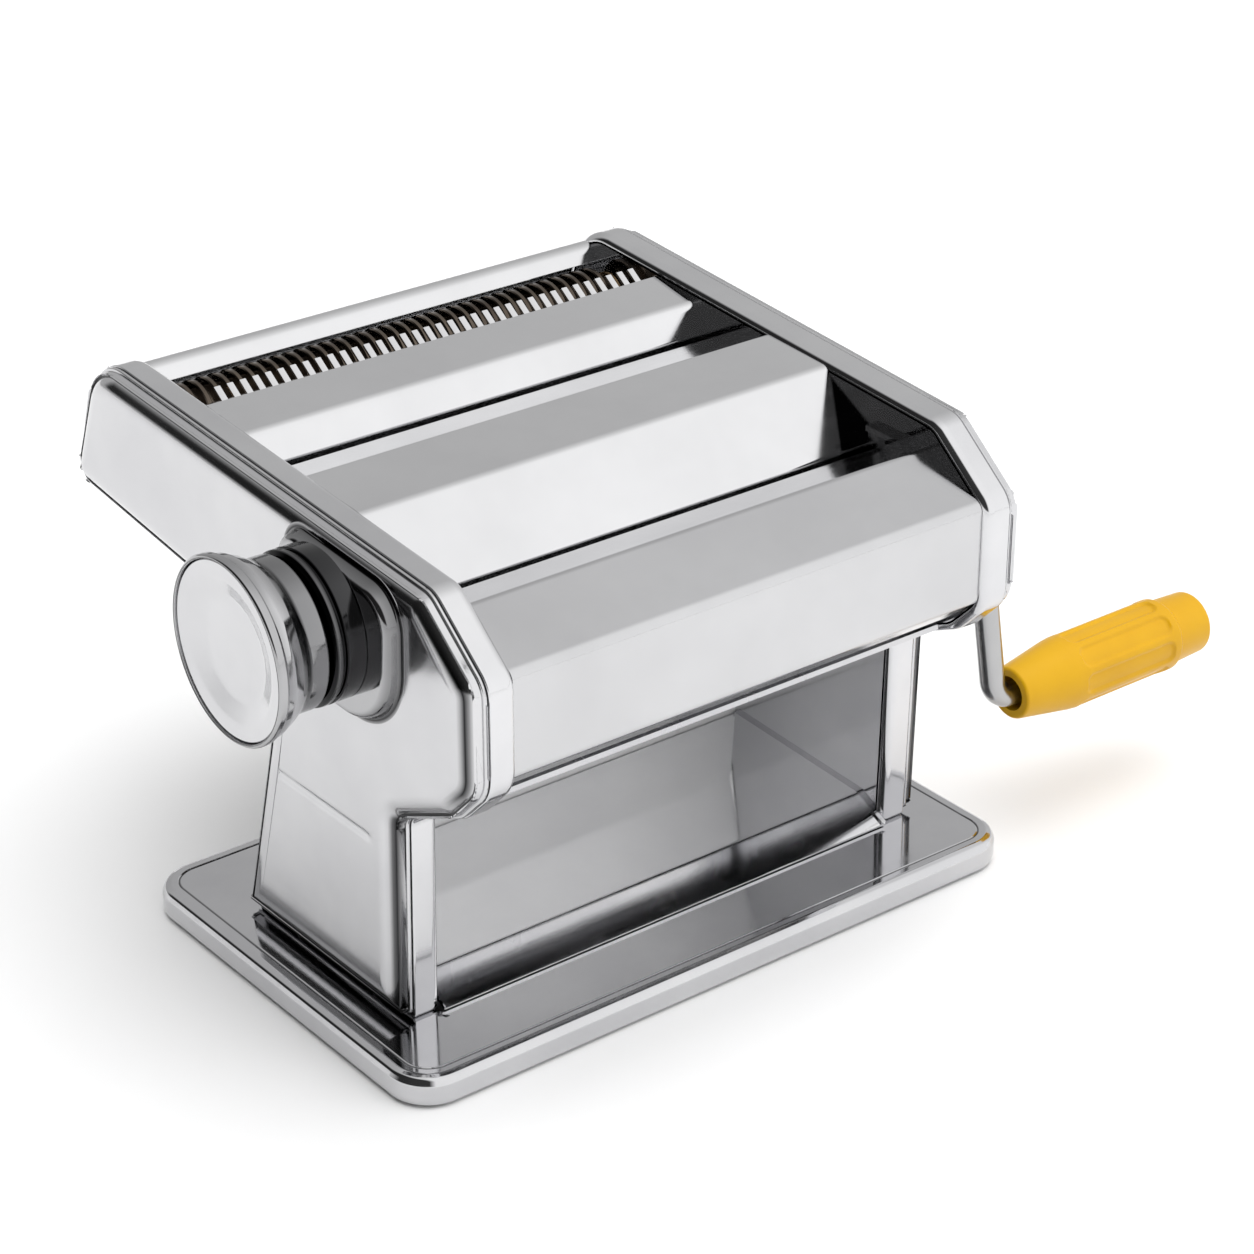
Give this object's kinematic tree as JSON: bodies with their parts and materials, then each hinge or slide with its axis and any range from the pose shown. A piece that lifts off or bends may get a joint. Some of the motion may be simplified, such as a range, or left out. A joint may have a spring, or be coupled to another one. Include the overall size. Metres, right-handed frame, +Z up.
{
  "type": "pasta roller machine",
  "caption": "Hand-cranked pasta machine of polished steel, with smooth sheet rollers, a thickness knob, wide and narrow cutters, and a removable crank with a yellow grip.",
  "frame": {"origin": "on the table, under the middle of the base tray: the middle of the central foot's lower face", "axes": "+X along the rollers towards the crank, -Y towards the front where the sheet rollers are, +Z up"},
  "size_m": [0.313, 0.189, 0.1499],
  "materials": {
    "bright_steel": "polished",
    "panel_steel": "bright",
    "roller_steel": "ground",
    "rod_steel": "satin",
    "gear_steel": "machined",
    "bearing_bronze": "machined",
    "cutter_steel": "ground",
    "foot_rubber": "matt",
    "grip_plastic": "satin"
  },
  "bodies": {
    "machine": {"base_tray": "bright_steel", "base_feet": "foot_rubber", "base_screws": "rod_steel", "clamp_socket": "rod_steel", "left_frame": "bright_steel", "right_frame": "bright_steel", "left_cover": "bright_steel", "right_cover": "bright_steel", "front_cover": "panel_steel", "middle_panel": "panel_steel", "rear_middle_panel": "panel_steel", "rear_cover": "panel_steel", "back_panel": "bright_steel", "floor_chute": "bright_steel", "tie_rods": "rod_steel", "tie_rod_screws": "rod_steel", "drive_bushes": "bearing_bronze", "cutter_bushes": "bearing_bronze", "spindle_bushes": "bearing_bronze", "carriage_rails": "rod_steel", "front_scraper": "roller_steel", "side_guides": "panel_steel", "top_comb": "panel_steel", "wide_combs": "roller_steel", "narrow_combs": "roller_steel", "dial_ring": "bright_steel", "socket_ferrules": "rod_steel", "rear_scraper": "roller_steel"},
    "drive": {"drive_roller": "roller_steel", "drive_shaft": "rod_steel", "drive_gear": "gear_steel"},
    "carriage": {"left_carriage": "gear_steel", "right_carriage": "gear_steel", "carriage_bushes": "bearing_bronze"},
    "idle": {"idle_roller": "roller_steel", "idle_shaft": "rod_steel", "idle_gear": "gear_steel"},
    "adjuster": {"adjuster_spindle": "rod_steel", "left_cam": "bearing_bronze", "right_cam": "bearing_bronze", "knob_spring": "rod_steel"},
    "knob": {"knob_shell": "bright_steel", "knob_cap": "bright_steel", "index_pin": "rod_steel"},
    "crank": {"crank_rod": "rod_steel", "crank_end_stop": "rod_steel"},
    "grip": {"crank_grip": "grip_plastic"},
    "wide_rear": {"wide_cutter_rear": "cutter_steel", "wide_gear_rear": "gear_steel"},
    "wide_front": {"wide_cutter_front": "cutter_steel", "wide_gear_front": "gear_steel"},
    "narrow_rear": {"narrow_cutter_rear": "cutter_steel", "narrow_gear_rear": "gear_steel"},
    "narrow_front": {"narrow_cutter_front": "cutter_steel", "narrow_gear_front": "gear_steel"}
  },
  "joints": [
    {"name": "crank_turn", "type": "hinge", "parent": "machine", "child": "drive", "pos_m": [0, -0.049, 0.098], "axis": [1, 0, 0], "continuous": true},
    {"name": "gap_slide", "type": "slide", "parent": "machine", "child": "carriage", "axis": [0, -1, 0], "range_m": [0, 0.002]},
    {"name": "idle_turn", "type": "hinge", "parent": "carriage", "child": "idle", "pos_m": [0, -0.0185, 0.098], "axis": [1, 0, 0], "continuous": true},
    {"name": "dial_turn", "type": "hinge", "parent": "machine", "child": "adjuster", "pos_m": [0, -0.018, 0.1205], "axis": [1, 0, 0], "range_deg": [0, 240]},
    {"name": "knob_pull", "type": "slide", "parent": "adjuster", "child": "knob", "axis": [-1, 0, 0], "range_m": [0, 0.003], "stiffness_N_per_m": 800},
    {"name": "crank_pull", "type": "slide", "parent": "drive", "child": "crank", "axis": [1, 0, 0], "range_m": [0, 0.03]},
    {"name": "grip_spin", "type": "hinge", "parent": "crank", "child": "grip", "pos_m": [0, -0.049, 0.043], "axis": [1, 0, 0], "continuous": true},
    {"name": "wide_turn", "type": "hinge", "parent": "machine", "child": "wide_rear", "pos_m": [0, 0.04825, 0.116], "axis": [1, 0, 0], "continuous": true},
    {"name": "wide_follow", "type": "hinge", "parent": "machine", "child": "wide_front", "pos_m": [0, 0.03075, 0.116], "axis": [1, 0, 0], "continuous": true},
    {"name": "narrow_turn", "type": "hinge", "parent": "machine", "child": "narrow_rear", "pos_m": [0, 0.08775, 0.132], "axis": [1, 0, 0], "continuous": true},
    {"name": "narrow_follow", "type": "hinge", "parent": "machine", "child": "narrow_front", "pos_m": [0, 0.07025, 0.132], "axis": [1, 0, 0], "continuous": true}
  ],
  "couplings": [
    {"joint": "idle_turn", "follows": "crank_turn", "ratio": -1},
    {"joint": "dial_turn", "follows": "gap_slide", "rad_per_m": 2094.4},
    {"joint": "wide_follow", "follows": "wide_turn", "ratio": -1},
    {"joint": "narrow_follow", "follows": "narrow_turn", "ratio": -1}
  ]
}
